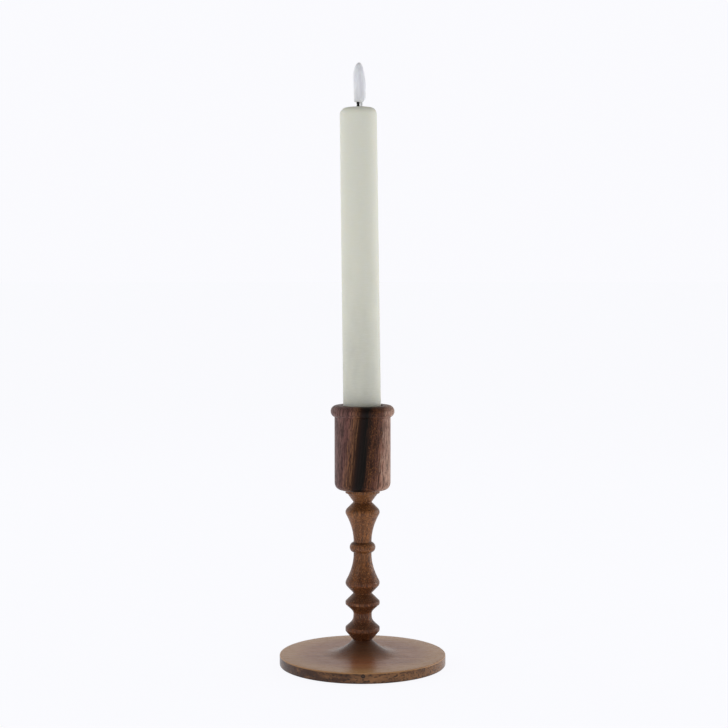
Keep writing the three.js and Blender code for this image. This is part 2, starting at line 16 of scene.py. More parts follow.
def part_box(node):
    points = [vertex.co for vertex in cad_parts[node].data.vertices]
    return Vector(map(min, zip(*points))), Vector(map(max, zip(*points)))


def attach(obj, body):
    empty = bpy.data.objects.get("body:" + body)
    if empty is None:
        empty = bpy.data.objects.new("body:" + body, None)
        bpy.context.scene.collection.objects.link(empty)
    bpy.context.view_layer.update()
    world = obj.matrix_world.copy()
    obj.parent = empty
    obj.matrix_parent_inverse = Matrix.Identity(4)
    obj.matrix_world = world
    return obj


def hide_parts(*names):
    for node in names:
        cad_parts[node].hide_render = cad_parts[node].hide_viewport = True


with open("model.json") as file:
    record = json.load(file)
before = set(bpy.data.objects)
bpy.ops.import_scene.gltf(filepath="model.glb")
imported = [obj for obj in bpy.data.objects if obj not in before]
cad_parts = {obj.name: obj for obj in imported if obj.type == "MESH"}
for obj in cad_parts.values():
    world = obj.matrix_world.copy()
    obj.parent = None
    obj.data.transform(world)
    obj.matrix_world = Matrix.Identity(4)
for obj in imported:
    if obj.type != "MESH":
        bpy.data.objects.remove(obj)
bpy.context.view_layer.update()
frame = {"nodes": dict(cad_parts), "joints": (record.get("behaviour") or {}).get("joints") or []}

nodes = frame["nodes"]
print("CAD nodes:", len(nodes))

# %% [markdown]
# Blender counts in metres and a woodturner in millimetres. Every size below is in millimetres, and
# is multiplied by MM on its way into Blender. The joints tell where the candle stands and how far it
# leans, so its pieces can be made upright and then set down in their place.

# %% Units and the candle's own place
MM = 0.001


def joint(name):
    return next(entry for entry in frame["joints"] if entry["name"] == name)


candle_foot = Vector(joint("cap_twist")["pos_m"])
candle_axis = Vector(joint("cap_twist")["axis"])
lean = atan2(candle_axis.x, candle_axis.z)
candle_place = Matrix.Translation(candle_foot) @ Matrix.Rotation(lean, 4, "Y")
print(f"the candle stands at {candle_foot.z / MM:.1f} mm and leans {degrees(lean):.2f} degrees")

# %% [markdown]
# ## The camera
#
# A long lens, almost level, about a metre away. It stands a little above the middle of the candle
# and looks down by three degrees, which opens the round base to a slim ellipse.

# %% Camera
CAMERA_DISTANCE = 978
CAMERA_HEIGHT = 236.6
CAMERA_PITCH = 3.284
CAMERA_SIDE = 0.85
LENS = 81.6
SENSOR = 36

lens = bpy.data.cameras.new("studio_camera")
lens.lens = LENS
lens.sensor_width = SENSOR
lens.clip_end = 100
camera = bpy.data.objects.new("studio_camera", lens)
camera.location = Vector((CAMERA_SIDE, -CAMERA_DISTANCE, CAMERA_HEIGHT)) * MM
camera.rotation_euler = (radians(90 - CAMERA_PITCH), 0, 0)
bpy.context.scene.collection.objects.link(camera)
bpy.context.scene.camera = camera
print("camera at", [round(c, 4) for c in camera.location])

# %% [markdown]
# ## Turning on a lathe
#
# Every wooden piece, and the wax too, is a solid of revolution. In Blender that is the spin tool: half
# the profile is drawn as a line, point by point, and swept once round the axis. The profile could
# also be a table of numbers, but the real pieces are made of a few plain shapes, so the outline is
# drawn by a small pen that knows lines, soft corners, bends and beads.

# %% A pen for half profiles
BEND_STEPS = 14
CORNER_STEPS = 7


def bend(start, aim, end, steps):
    """Points after start on a smooth curve that leaves towards aim and arrives from it."""
    shares = [step / steps for step in range(1, steps + 1)]
    return [(1 - t) ** 2 * start + 2 * t * (1 - t) * aim + t * t * end for t in shares]


class Outline:
    """The half profile of a turned piece, as points of radius and height in millimetres."""

    def __init__(self, radius, height):
        self.points = [Vector((radius, height))]

    def line(self, *places):
        self.points += [Vector(place) for place in places]
        return self

    def curve(self, aim, end, steps=BEND_STEPS):
        self.points += bend(self.points[-1], Vector(aim), Vector(end), steps)
        return self

    def corner(self, place, towards, reach, steps=CORNER_STEPS):
        """A line up to a corner that is rounded over its reach on both sides."""
        place, towards, before = Vector(place), Vector(towards), self.points[-1]
        back, on = before - place, towards - place
        start = place + back.normalized() * min(reach, back.length / 2)
        end = place + on.normalized() * min(reach, on.length / 2)
        self.points += [start] + bend(start, place, end, steps)
        return self

    def bead(self, centre, radius, start, end, steps=24):
        """An arc round its centre between two angles in degrees, counted from straight outwards."""
        for step in range(steps + 1):
            angle = radians(start + (end - start) * step / steps)
            self.points.append(Vector(centre) + radius * Vector((cos(angle), sin(angle))))
        return self


# %% [markdown]
# The lathe itself. A plane is added and merged to one point, the point is carried along the outline
# by extruding, and the line is spun once round Z. Merging doubles closes the seam and the poles, and
# the normals are recalculated, because a spun wall may come out facing inwards.

# %% The lathe
LATHE_STEPS = 128
CLOSE = 1e-6


def deselect_all():
    bpy.ops.object.select_all(action="DESELECT")


def edit(on=True):
    """Goes into edit mode, or out of it."""
    bpy.ops.object.mode_set(mode="EDIT" if on else "OBJECT")


def close_surface():
    """In edit mode: closes seams, turns every face outwards and goes back to object mode."""
    bpy.ops.mesh.select_all(action="SELECT")
    bpy.ops.mesh.remove_doubles(threshold=CLOSE)
    bpy.ops.mesh.normals_make_consistent(inside=False)
    edit(False)


def start_line(name, first):
    """One point in edit mode, in a new object of that name."""
    deselect_all()
    bpy.ops.mesh.primitive_plane_add(size=MM, enter_editmode=True)
    piece = bpy.context.object
    piece.name = name
    bpy.ops.mesh.merge(type="CENTER")
    bpy.ops.transform.translate(value=first)
    return piece


def turn(name, outline, steps=LATHE_STEPS):
    """Turns a piece from its outline."""
    path = [Vector((radius, 0, height)) * MM for radius, height in outline.points]
    piece = start_line(name, path[0])
    for before, after in zip(path, path[1:]):
        if (after - before).length > CLOSE:
            bpy.ops.mesh.extrude_region_move(TRANSFORM_OT_translate={"value": after - before})
    bpy.ops.mesh.select_all(action="SELECT")
    bpy.ops.mesh.spin(steps=steps, angle=tau, center=(0, 0, 0), axis=(0, 0, 1))
    close_surface()
    return piece


# %% [markdown]
# More helpers finish a piece: one applies its modifiers, and one shades it smooth but keeps its true
# corners, hangs it on the body it rides on and hides the CAD nodes it stands for.

# %% Finishing helpers
SMOOTH_ANGLE = 32


def make_active(piece):
    deselect_all()
    piece.select_set(True)
    bpy.context.view_layer.objects.active = piece


def apply_modifiers(piece):
    make_active(piece)
    for modifier in list(piece.modifiers):
        bpy.ops.object.modifier_apply(modifier=modifier.name)


def cut_or_join(piece, tool, operation):
    """Cuts the tool from the piece or joins it on, and removes the tool."""
    modifier = piece.modifiers.new(operation.lower(), "BOOLEAN")
    modifier.operation = operation
    modifier.object = tool
    modifier.solver = "EXACT"
    apply_modifiers(piece)
    bpy.data.objects.remove(tool)


def set_in_candle(piece):
    """Moves a piece made upright to the candle's place, in its mesh."""
    piece.data.transform(candle_place)


def finish_piece(piece, body, slot, *stands_for, angle=SMOOTH_ANGLE):
    make_active(piece)
    bpy.ops.object.shade_smooth_by_angle(angle=radians(angle))
    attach(piece, body)
    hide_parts(*stands_for)
    print(f"{piece.name}: {len(piece.data.polygons)} faces, rides on {body}")


# %% [markdown]
# ## The disc base
#
# The base is a flat board, turned to a disc about 99 mm across with a crisp, slightly worn rim. A boss
# sweeps up in its middle and carries the stem. Underneath are a shallow recess for the felt and the
# hole for the stem's tenon. The outline follows the real section once round, so the wood is solid
# and closed everywhere.

# %% Base sizes
BASE_RADIUS = 49.65
BASE_EDGE = 6.3
RIM_SOFTNESS = 0.7
BOSS_RADIUS = 5.7
BOSS_HEIGHT = 8.5
BOSS_SPREAD = 18.5
BOSS_STEEP = 4.4
FELT_RADIUS = 44
FELT_RECESS = 1.0
SCREW_BORE = 1.8
SCREW_SINK = 3.3
SINK_DEPTH = 1.9
WEB = 5.5
FOOT_TENON = 3.8
GLUE = 0.05
LOOSE = 0.3

wood_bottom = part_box("base_disc")[0].z / MM
disc_top = wood_bottom + BASE_EDGE
boss_top = disc_top + BOSS_HEIGHT
recess_top = wood_bottom + FELT_RECESS
mortise_floor = recess_top + WEB
print(f"the disc lies from {wood_bottom:.2f} to {disc_top:.2f} mm, its boss reaches {boss_top:.2f}")

# %% Turn the base
BOSS_STEPS = 22
DISC_RINGS = (6, 13, 20)


def boss_curve(start, first_aim, second_aim, end, steps):
    """Points on a curve with two aims, which leaves the disc flat and climbs to the boss."""
    made = []
    for step in range(1, steps + 1):
        t = step / steps
        weights = ((1 - t) ** 3, 3 * t * (1 - t) ** 2, 3 * t * t * (1 - t), t ** 3)
        corners = (start, first_aim, second_aim, end)
        made.append(sum((w * Vector(c) for w, c in zip(weights, corners)), Vector((0, 0))))
    return made


def base_outline():
    run = (BOSS_RADIUS + BOSS_SPREAD, disc_top)
    first_aim = (BOSS_RADIUS + BOSS_SPREAD / 2, disc_top)
    second_aim = (BOSS_RADIUS + BOSS_STEEP, boss_top - BOSS_STEEP)
    outline = Outline(SCREW_BORE, mortise_floor)
    outline.line((SCREW_BORE, recess_top + SINK_DEPTH), (SCREW_SINK, recess_top))
    outline.line((FELT_RADIUS + LOOSE, recess_top), (FELT_RADIUS + LOOSE, wood_bottom))
    outline.corner((BASE_RADIUS, wood_bottom), (BASE_RADIUS, disc_top), RIM_SOFTNESS)
    outline.corner((BASE_RADIUS, disc_top), run, RIM_SOFTNESS)
    outline.line(*[(BASE_RADIUS - ring, disc_top) for ring in DISC_RINGS], run)
    outline.line(*boss_curve(run, first_aim, second_aim, (BOSS_RADIUS, boss_top), BOSS_STEPS))
    outline.line((FOOT_TENON + GLUE, boss_top), (FOOT_TENON + GLUE, mortise_floor))
    outline.line((SCREW_BORE, mortise_floor))
    return outline


base = turn("disc_base", base_outline(), steps=160)
finish_piece(base, "holder", "base_wood", "base_disc")

# %% [markdown]
# ## The baluster stem
#
# The stem is one spindle of wood, turned between centres. From the foot up it has a square-edged
# ridge, a round cove, a second ridge, a V groove, a long flare that narrows from a round shoulder to
# the neck, a small bead, the same flare upside down, another V groove and a thin collar. Each member
# is a height, and the outline walks up them as a turner's story stick does.

# %% Stem members
STEM_MEMBERS = {
    "foot cone": 5.4,
    "low ridge": 2.2,
    "cove": 13.8,
    "middle ridge": 1.8,
    "lower groove, below its waist": 4.8,
    "lower groove, above its waist": 5.8,
    "lower flare": 17.9,
    "neck": 0.8,
    "bead": 6.3,
    "upper flare": 18.5,
    "upper groove, below its waist": 5.5,
    "upper groove, above its waist": 5.34,
    "collar": 1.9,
}
stem_foot = boss_top + GLUE
heights = [stem_foot]
for rise in STEM_MEMBERS.values():
    heights.append(heights[-1] + rise)
collar_top = heights[-1]
print(f"the stem stands from {stem_foot:.2f} to {collar_top:.2f} mm, without its tenons")

# %% Turn the stem
RIDGE_RADIUS = 10.25
RIDGE_SOFTNESS = 0.42
SHOULDER_RADIUS = 10.93
SHOULDER_SOFTNESS = 2.5
COVE_RADIUS = 5.5
COVE_MIDDLE = 5.2
WAIST_RADIUS = 5.4
WAIST_SOFTNESS = 0.3
FLARE_TANGENT = 10.2
NECK_RADIUS = 5.37
BEAD_RADIUS = 7.7
COLLAR_CONE = 9.25
COLLAR_RADIUS = 10.25
TOP_TENON = 6
TOP_TENON_LENGTH = 9
TENON_CHAMFER = 0.6
PILOT_RADIUS = 1.55
PILOT_TOP = recess_top + 21


def stem_foot_half(outline, level):
    """From the boss up to the middle ridge: a cone, a ridge, the cove and the second ridge."""
    low, high = (RIDGE_RADIUS, level[1]), (RIDGE_RADIUS, level[2])
    second_low, second_high = (RIDGE_RADIUS, level[3]), (RIDGE_RADIUS, level[4])
    middle = (level[2] + level[3]) / 2
    cove_low, cove_high = ((COVE_RADIUS, middle + side * COVE_MIDDLE / 2) for side in (-1, 1))
    outline.corner(low, high, RIDGE_SOFTNESS)
    outline.corner(high, cove_low, RIDGE_SOFTNESS)
    outline.corner(cove_low, cove_high, COVE_MIDDLE / 2)
    outline.corner(cove_high, second_low, COVE_MIDDLE / 2)
    outline.corner(second_low, second_high, RIDGE_SOFTNESS)
    outline.corner(second_high, (WAIST_RADIUS, level[5]), RIDGE_SOFTNESS)


def stem_flares(outline, level):
    """The V groove, the lower flare, the bead and the upper flare up to its round shoulder."""
    shoulder, aim = (SHOULDER_RADIUS, level[6]), (NECK_RADIUS, level[6] + FLARE_TANGENT)
    outline.corner((WAIST_RADIUS, level[5]), shoulder, WAIST_SOFTNESS)
    outline.corner(shoulder, aim, SHOULDER_SOFTNESS)
    outline.curve(aim, (NECK_RADIUS, level[7]))
    rise, half = BEAD_RADIUS - NECK_RADIUS, (level[9] - level[8]) / 2
    arc = (rise * rise + half * half) / (2 * rise)
    swing = degrees(atan2(half, arc - rise))
    outline.bead((BEAD_RADIUS - arc, (level[8] + level[9]) / 2), arc, -swing, swing)
    upper, waist = Vector((SHOULDER_RADIUS, level[10])), Vector((WAIST_RADIUS, level[11]))
    upper_aim = Vector((NECK_RADIUS, level[10] - FLARE_TANGENT))
    outline.curve(upper_aim, upper + (upper_aim - upper).normalized() * SHOULDER_SOFTNESS)
    outline.curve(upper, upper + (waist - upper).normalized() * SHOULDER_SOFTNESS, CORNER_STEPS)


def stem_outline():
    level = heights
    tenon_foot, tenon_top = mortise_floor + GLUE, collar_top + TOP_TENON_LENGTH
    outline = Outline(0, PILOT_TOP)
    outline.line((PILOT_RADIUS, PILOT_TOP), (PILOT_RADIUS, tenon_foot))
    outline.corner((FOOT_TENON, tenon_foot), (FOOT_TENON, stem_foot), TENON_CHAMFER)
    outline.line((FOOT_TENON, stem_foot), (BOSS_RADIUS, stem_foot))
    stem_foot_half(outline, level)
    stem_flares(outline, level)
    outline.corner((WAIST_RADIUS, level[11]), (COLLAR_CONE, level[12]), WAIST_SOFTNESS)
    outline.line((COLLAR_CONE, level[12]))
    outline.corner((COLLAR_RADIUS, level[12]), (COLLAR_RADIUS, level[13]), RIDGE_SOFTNESS)
    outline.line((COLLAR_RADIUS, level[13]), (TOP_TENON, level[13]))
    outline.corner((TOP_TENON, tenon_top), (0, tenon_top), TENON_CHAMFER)
    outline.line((0, tenon_top))
    return outline


stem = turn("baluster_stem", stem_outline())
finish_piece(stem, "holder", "stem_wood", "turned_stem")

# %% [markdown]
# ## The cup
#
# A straight cup of dark walnut, bored for a candle, with a round bead at its lip and a softly rounded
# foot. The bead is a true arc, so it is drawn with the pen's bead stroke. The outline goes up the
# outside, over the lip and down the bore, which leaves a real wall of wood and an open socket.

# %% Turn the cup
CUP_RADIUS = 16.7
CUP_FOOT = 5
CUP_BEAD = 3.6
CUP_BEAD_OUT = 2.3
LIP_SOFTNESS = 0.7
BORE_RADIUS = 11.9
BORE_DEPTH = 37.3
MORTISE_DEPTH = 9

cup_low, cup_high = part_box("candle_cup")
cup_bottom, cup_top = cup_low.z / MM, cup_high.z / MM


def cup_outline():
    middle = cup_top - CUP_BEAD
    centre = CUP_RADIUS + CUP_BEAD_OUT - CUP_BEAD
    start = -degrees(atan2(sqrt(CUP_BEAD ** 2 - (CUP_RADIUS - centre) ** 2), CUP_RADIUS - centre))
    wall_top = (CUP_RADIUS, middle + CUP_BEAD * sin(radians(start)))
    mortise, mortise_top = TOP_TENON + GLUE, cup_bottom + MORTISE_DEPTH
    floor = cup_top - BORE_DEPTH
    outline = Outline(0, mortise_top)
    outline.line((mortise, mortise_top), (mortise, cup_bottom))
    outline.corner((CUP_RADIUS, cup_bottom), wall_top, CUP_FOOT, steps=16)
    outline.line(wall_top)
    outline.bead((centre, middle), CUP_BEAD, start, 90)
    outline.corner((BORE_RADIUS, cup_top), (BORE_RADIUS, floor), LIP_SOFTNESS)
    outline.line((BORE_RADIUS, floor), (0, floor))
    return outline


cup = turn("walnut_cup", cup_outline())
finish_piece(cup, "holder", "cup_wood", "candle_cup")

# %% [markdown]
# ## The felt
#
# A thin disc of grey felt hides the screw and keeps the wood off the table. Real felt is soft at its
# edge and a little uneven, so the disc is bevelled, divided into a fine net and then stirred by a
# cloudy displacement of a few hundredths of a millimetre.

# %% Uneven surfaces
def make_uneven(piece, name, size, strength, depth, middle):
    """Shifts the surface in and out by clouds of that size, in millimetres, around a middle level."""
    clouds = bpy.data.textures.new(name, "CLOUDS")
    clouds.noise_scale = size * MM
    clouds.noise_depth = depth
    modifier = piece.modifiers.new(name, "DISPLACE")
    modifier.texture = clouds
    modifier.texture_coords = "LOCAL"
    modifier.strength = strength * MM
    modifier.mid_level = middle
    apply_modifiers(piece)


# %% Cut the felt
FELT_THICKNESS = 1.45
FELT_EDGE = 0.35
FELT_RINGS = 9
FELT_STIR = 0.07
FELT_SIDES = 96
FELT_CLOUD = 2.5


def felt_disc():
    deselect_all()
    middle = (0, 0, FELT_THICKNESS * MM / 2)
    bpy.ops.mesh.primitive_cylinder_add(
        vertices=FELT_SIDES, radius=(FELT_RADIUS - FELT_STIR) * MM, depth=(FELT_THICKNESS - FELT_STIR) * MM,
        location=middle, enter_editmode=True,
    )
    piece = bpy.context.object
    piece.name = "felt_disc"
    bpy.ops.mesh.bevel(offset=FELT_EDGE * MM, segments=3, affect="EDGES")
    bpy.ops.mesh.select_all(action="DESELECT")
    bpy.ops.mesh.select_face_by_sides(number=FELT_SIDES, type="EQUAL")
    for ring in range(FELT_RINGS):
        bpy.ops.mesh.inset(thickness=(FELT_RADIUS - 2) / (FELT_RINGS + 1) * MM)
    close_surface()
    bpy.ops.object.transform_apply(location=True, rotation=True, scale=True)
    make_uneven(piece, "felt_stir", FELT_CLOUD, FELT_STIR, depth=2, middle=0.5)
    return piece


felt = felt_disc()
finish_piece(felt, "holder", "felt", "felt_pad")

# %% [markdown]
# ## The wax
#
# The candle is a sleeve of ivory wax over a plastic tube. It tapers a little towards its top. It is
# finished by hand: its top edge is rounded, except at one side, where it has been trimmed flat. The
# rounding comes with the turning. The trim is a bisect, whose plane leans like the knife did, and the
# unevenness of poured wax is a broad, very shallow displacement.

# %% Pour and trim the wax
CAP_HEIGHT = 8
WAX_LENGTH = 204.7
WAX_INNER = 9.3
WAX_RADIUS = 11.3
WAX_TAPER = 0.35
WAX_TOP_WALL = 4
WAX_CORNER = 4.6
WICK_HOLE = 1.28
WAX_RINGS = 44
WAX_UNEVEN = 0.16
WAX_CLOUD = 9
WAX_MIDDLE = 0.62
TRIM_OUT = 8.3
TRIM_SLOPE = 48
TRIM_TURN = 0.12

wax_top = CAP_HEIGHT + WAX_LENGTH


def wax_outline():
    top_radius = WAX_RADIUS - WAX_TAPER
    outline = Outline(WAX_INNER, CAP_HEIGHT).line((WAX_RADIUS, CAP_HEIGHT))
    for ring in range(1, WAX_RINGS):
        share = ring / WAX_RINGS * (1 - WAX_CORNER / WAX_LENGTH)
        outline.line((WAX_RADIUS - WAX_TAPER * share, CAP_HEIGHT + WAX_LENGTH * share))
    outline.corner((top_radius, wax_top), (WICK_HOLE, wax_top), WAX_CORNER, steps=14)
    outline.line((5, wax_top), (3, wax_top), (WICK_HOLE, wax_top), (WICK_HOLE, wax_top - WAX_TOP_WALL))
    outline.line((WAX_INNER, wax_top - WAX_TOP_WALL), (WAX_INNER, CAP_HEIGHT))
    return outline


def trim_corner(piece):
    """Cuts one side of the top edge off flat."""
    make_active(piece)
    edit()
    bpy.ops.mesh.select_all(action="SELECT")
    slope = radians(TRIM_SLOPE)
    bpy.ops.mesh.bisect(
        plane_co=(-TRIM_OUT * MM, 0, wax_top * MM), plane_no=(-sin(slope), -TRIM_TURN, cos(slope)),
        use_fill=True, clear_outer=True,
    )
    close_surface()


wax = turn("wax_candle", wax_outline(), steps=112)
make_uneven(wax, "poured_wax", WAX_CLOUD, WAX_UNEVEN, depth=1, middle=WAX_MIDDLE)
trim_corner(wax)
set_in_candle(wax)
finish_piece(wax, "candle", "wax", "wax_sleeve")

# %% [markdown]
# ## The wick and the flame
#
# The wick is a short black stub with two knots, one over the other, between a broad foot in the
# holder and the LED. The flame is a leaf of frosted plastic. It is turned like the rest, and then
# leaned ring by ring: each ring of points is selected by its height and moved to one side, so that
# the leaf's left side stands nearly straight and its right side bellies out. A clear leg joins it to
# the wax, and a hollow in it takes the LED.

# %% Knot the wick
WICK_RADIUS = 0.93
WICK_WAIST = 0.66
WICK_SHOWS = 3.1
WICK_IN_FLAME = 4.0
WICK_FLANGE = 2.6
WICK_FLANGE_HEIGHT = 1.4

flame_foot = wax_top + WICK_SHOWS
wick_foot = wax_top - WAX_TOP_WALL - LOOSE - WICK_FLANGE_HEIGHT


def wick_outline():
    knot = WICK_SHOWS / 2
    shoulder = wick_foot + WICK_FLANGE_HEIGHT
    outline = Outline(0, wick_foot).line((WICK_FLANGE, wick_foot), (WICK_FLANGE, shoulder))
    outline.line((WICK_RADIUS, shoulder), (WICK_RADIUS, wax_top - 1))
    outline.curve((WICK_WAIST, wax_top - 0.6), (WICK_WAIST, wax_top), steps=5)
    for number in range(2):
        low = wax_top + number * knot
        outline.curve((WICK_RADIUS, low + 0.05), (WICK_RADIUS, low + knot / 2), steps=8)
        outline.curve((WICK_RADIUS, low + knot - 0.05), (WICK_WAIST, low + knot), steps=8)
    outline.curve((WICK_RADIUS, flame_foot + 0.1), (WICK_RADIUS, flame_foot + 0.5), steps=5)
    outline.line((WICK_RADIUS, flame_foot + WICK_IN_FLAME), (0, flame_foot + WICK_IN_FLAME))
    return outline


wick = turn("knotted_wick", wick_outline(), steps=32)
set_in_candle(wick)
finish_piece(wick, "candle", "wick_black", "wick")

# %% Shape the flame
FLAME_HEIGHT = 23.1
FLAME_RADIUS = 3.62
FLAME_FOOT = 2.5
FLAME_SHIFT = 1.03
FLAME_DIP = 0.45
DIP_SHARE = 0.8
DIP_WIDTH = 0.4
FOOT_PULL = 0.75
FOOT_PULL_HEIGHT = 2.6
FLAME_RINGS = 40
LEG_RADIUS = 0.68
LEG_OFFSET = 2.0
LED_RADIUS = 0.93
LED_HEIGHT = 2.6
FLAME_ROOM = 0.35


def flame_radius(share):
    """Half the flame's width at a share of its height: a full belly, closed by half an ellipse."""
    if share > 0.5:
        return FLAME_RADIUS * sqrt(max(0.0, 1 - ((share - 0.5) / 0.5) ** 2))
    low = min(1.0, share * FLAME_HEIGHT / FOOT_PULL_HEIGHT)
    full = FLAME_RADIUS * (0.955 + 0.09 * share)
    return FLAME_FOOT + (full - FLAME_FOOT) * (1 - (1 - low) ** 2)


def flame_sway(share):
    """How far the flame's middle stands over to the right at a share of its height."""
    off = min(1.0, abs(share - DIP_SHARE) / DIP_WIDTH)
    low = max(0.0, 1 - share * FLAME_HEIGHT / FOOT_PULL_HEIGHT)
    return FLAME_SHIFT - FLAME_DIP * (1 + cos(pi * off)) / 2 - FOOT_PULL * low * low


def flame_shares():
    """Shares of the height, close together at both ends, where the outline turns fastest."""
    return [(1 - cos(pi * ring / FLAME_RINGS)) / 2 for ring in range(FLAME_RINGS + 1)]


def select_ring(piece, height):
    """In edit mode: selects the points at that height, and no others."""
    bpy.ops.mesh.select_all(action="DESELECT")
    edit(False)
    for point in piece.data.vertices:
        point.select = abs(point.co.z - height * MM) < CLOSE
    edit()


def turn_flame():
    outline = Outline(0, 0)
    outline.line(*[(flame_radius(share), share * FLAME_HEIGHT) for share in flame_shares()])
    piece = turn("flame_leaf", outline, steps=64)
    make_active(piece)
    edit()
    bpy.ops.mesh.select_mode(type="VERT")
    for share in flame_shares():
        select_ring(piece, share * FLAME_HEIGHT)
        bpy.ops.transform.translate(value=(flame_sway(share) * MM, 0, 0))
    edit(False)
    return piece


def turned_tool(name, points, x, z, steps=32):
    """A small turned solid, placed at x and z, to cut or join with."""
    tool = turn(name, Outline(*points[0]).line(*points[1:]), steps)
    tool.data.transform(Matrix.Translation(Vector((x, 0, z)) * MM))
    return tool


flame = turn_flame()
room = LED_RADIUS + FLAME_ROOM
led_top = WICK_IN_FLAME + LED_HEIGHT + LOOSE
hollow = [(0, -1), (room, -1), (room, led_top), (0, led_top + FLAME_ROOM)]
leg_foot = LOOSE - WICK_SHOWS
leg = [(0, leg_foot), (LEG_RADIUS, leg_foot), (LEG_RADIUS, 1), (0, 1)]
cut_or_join(flame, turned_tool("leg", leg, LEG_OFFSET, 0), "UNION")
cut_or_join(flame, turned_tool("hollow", hollow, 0, 0), "DIFFERENCE")
flame.data.transform(Matrix.Translation((0, 0, flame_foot * MM)))
set_in_candle(flame)
finish_piece(flame, "candle", "flame_frosted", "flame", angle=50)

# %% [markdown]
# ## The battery cap
#
# The cap closes the candle from below. It is turned as a shallow pot with a spigot, gets two lugs that
# lock it in the tube, and a slot in its floor for the switch. The lugs are small blocks swept round
# the axis by a partial spin, which is how they are shaped in the real moulding.

# %% Mould the cap
CAP_RADIUS = 11.3
CAP_EDGE = 0.6
CAP_FLOOR = 2.2
CAP_SHOULDER = CAP_HEIGHT - LOOSE
SPIGOT_TOP = CAP_SHOULDER + 6.5
SPIGOT_RADIUS = 7.7
WELL_RADIUS = 6.6
LUG_OUT = 8.7
LUG_LIFT = 2.6
LUG_HEIGHT = 1.8
LUG_DEGREES = 24
SLOT_WIDTH = 3.0
SLOT_LENGTH = 6.0
SLOT_MIDDLE = 1.0


def cap_outline():
    outline = Outline(0, 0)
    outline.corner((CAP_RADIUS, 0), (CAP_RADIUS, CAP_SHOULDER), CAP_EDGE)
    outline.corner((CAP_RADIUS, CAP_SHOULDER), (SPIGOT_RADIUS, CAP_SHOULDER), 0.15, steps=3)
    outline.line((SPIGOT_RADIUS, CAP_SHOULDER))
    outline.corner((SPIGOT_RADIUS, SPIGOT_TOP), (WELL_RADIUS, SPIGOT_TOP), 0.3, steps=4)
    outline.line((WELL_RADIUS, SPIGOT_TOP), (WELL_RADIUS, CAP_FLOOR), (0, CAP_FLOOR))
    return outline


def lug(middle):
    """A block from inside the spigot's wall to the lug's end, swept through its angle."""
    inner = (SPIGOT_RADIUS + WELL_RADIUS) / 2
    low = CAP_SHOULDER + LUG_LIFT
    deselect_all()
    bpy.ops.mesh.primitive_plane_add(size=MM, enter_editmode=True)
    made = bpy.context.object
    bpy.ops.transform.resize(value=(LUG_OUT - inner, LUG_HEIGHT, 1))
    edit(False)
    centre = Vector(((LUG_OUT + inner) / 2, 0, low + LUG_HEIGHT / 2)) * MM
    upright = Matrix.Translation(centre) @ Matrix.Rotation(pi / 2, 4, "X")
    made.data.transform(Matrix.Rotation(radians(middle - LUG_DEGREES / 2), 4, "Z") @ upright)
    edit()
    bpy.ops.mesh.select_all(action="SELECT")
    bpy.ops.mesh.spin(steps=8, angle=radians(LUG_DEGREES), center=(0, 0, 0), axis=(0, 0, 1))
    close_surface()
    return made


def slot_cutter():
    deselect_all()
    bpy.ops.mesh.primitive_cube_add(size=MM, location=(0, SLOT_MIDDLE * MM, CAP_FLOOR / 2 * MM))
    made = bpy.context.object
    made.scale = (SLOT_WIDTH, SLOT_LENGTH, CAP_FLOOR + 2)
    bpy.ops.object.transform_apply(location=True, rotation=True, scale=True)
    return made


cap = turn("moulded_cap", cap_outline())
for middle in (0, 180):
    cut_or_join(cap, lug(middle), "UNION")
cut_or_join(cap, slot_cutter(), "DIFFERENCE")
set_in_candle(cap)
finish_piece(cap, "cap", "cap_plastic", "battery_cap")

# %% [markdown]
# ## Finishes made of nodes
#
# A finish is a small tree of nodes that feeds the surface shader. The classes below give short names
# to the few nodes that all finishes use. Every pattern reads Object coordinates, which are metres
# here because each piece sits at the origin, and a Mapping node turns them into millimetres first, so
# that every scale afterwards can be read as so many features per millimetre.

# %% A helper for node trees
MIX_FACTOR, MIX_FIRST, MIX_SECOND, MIX_RESULT = 0, 6, 7, 2


class Tree:
    """Short names for the few nodes that finishes and surroundings use."""

    def __init__(self, tree):
        self.tree = tree

    def feed(self, socket, value):
        """Links a node's output to a socket, or sets the socket to a plain value."""
        if isinstance(value, bpy.types.NodeSocket):
            self.tree.links.new(value, socket)
        else:
            socket.default_value = value

    def node(self, kind, inputs=None, **settings):
        made = self.tree.nodes.new("ShaderNode" + kind)
        for name, value in settings.items():
            setattr(made, name, value)
        for socket, value in (inputs or {}).items():
            self.feed(made.inputs[socket], value)
        return made

    def math(self, operation, first, second=0.5, third=0.5):
        inputs = {0: first, 1: second, 2: third}
        return self.node("Math", inputs, operation=operation).outputs["Value"]

    def part(self, vector, axis):
        """One of the three parts of a vector: X, Y or Z."""
        return self.node("SeparateXYZ", {"Vector": vector}).outputs[axis]

    def ramp(self, value, *stops, soft=False):
        """Colours along a value: each stop is a place from 0 to 1 and a colour."""
        made = self.node("ValToRGB", {"Fac": value})
        band = made.color_ramp
        band.interpolation = "EASE" if soft else "LINEAR"
        while len(band.elements) < len(stops):
            band.elements.new(1.0)
        for element, (place, colour) in zip(band.elements, stops):
            element.position = place
            element.color = (*colour, 1)
        return made.outputs["Color"]

    def mix(self, factor, first, second, blend="MIX"):
        made = self.node("Mix", data_type="RGBA", blend_type=blend, clamp_result=False)
        for number, value in ((MIX_FACTOR, factor), (MIX_FIRST, first), (MIX_SECOND, second)):
            self.feed(made.inputs[number], (*value, 1) if isinstance(value, tuple) else value)
        return made.outputs[MIX_RESULT]


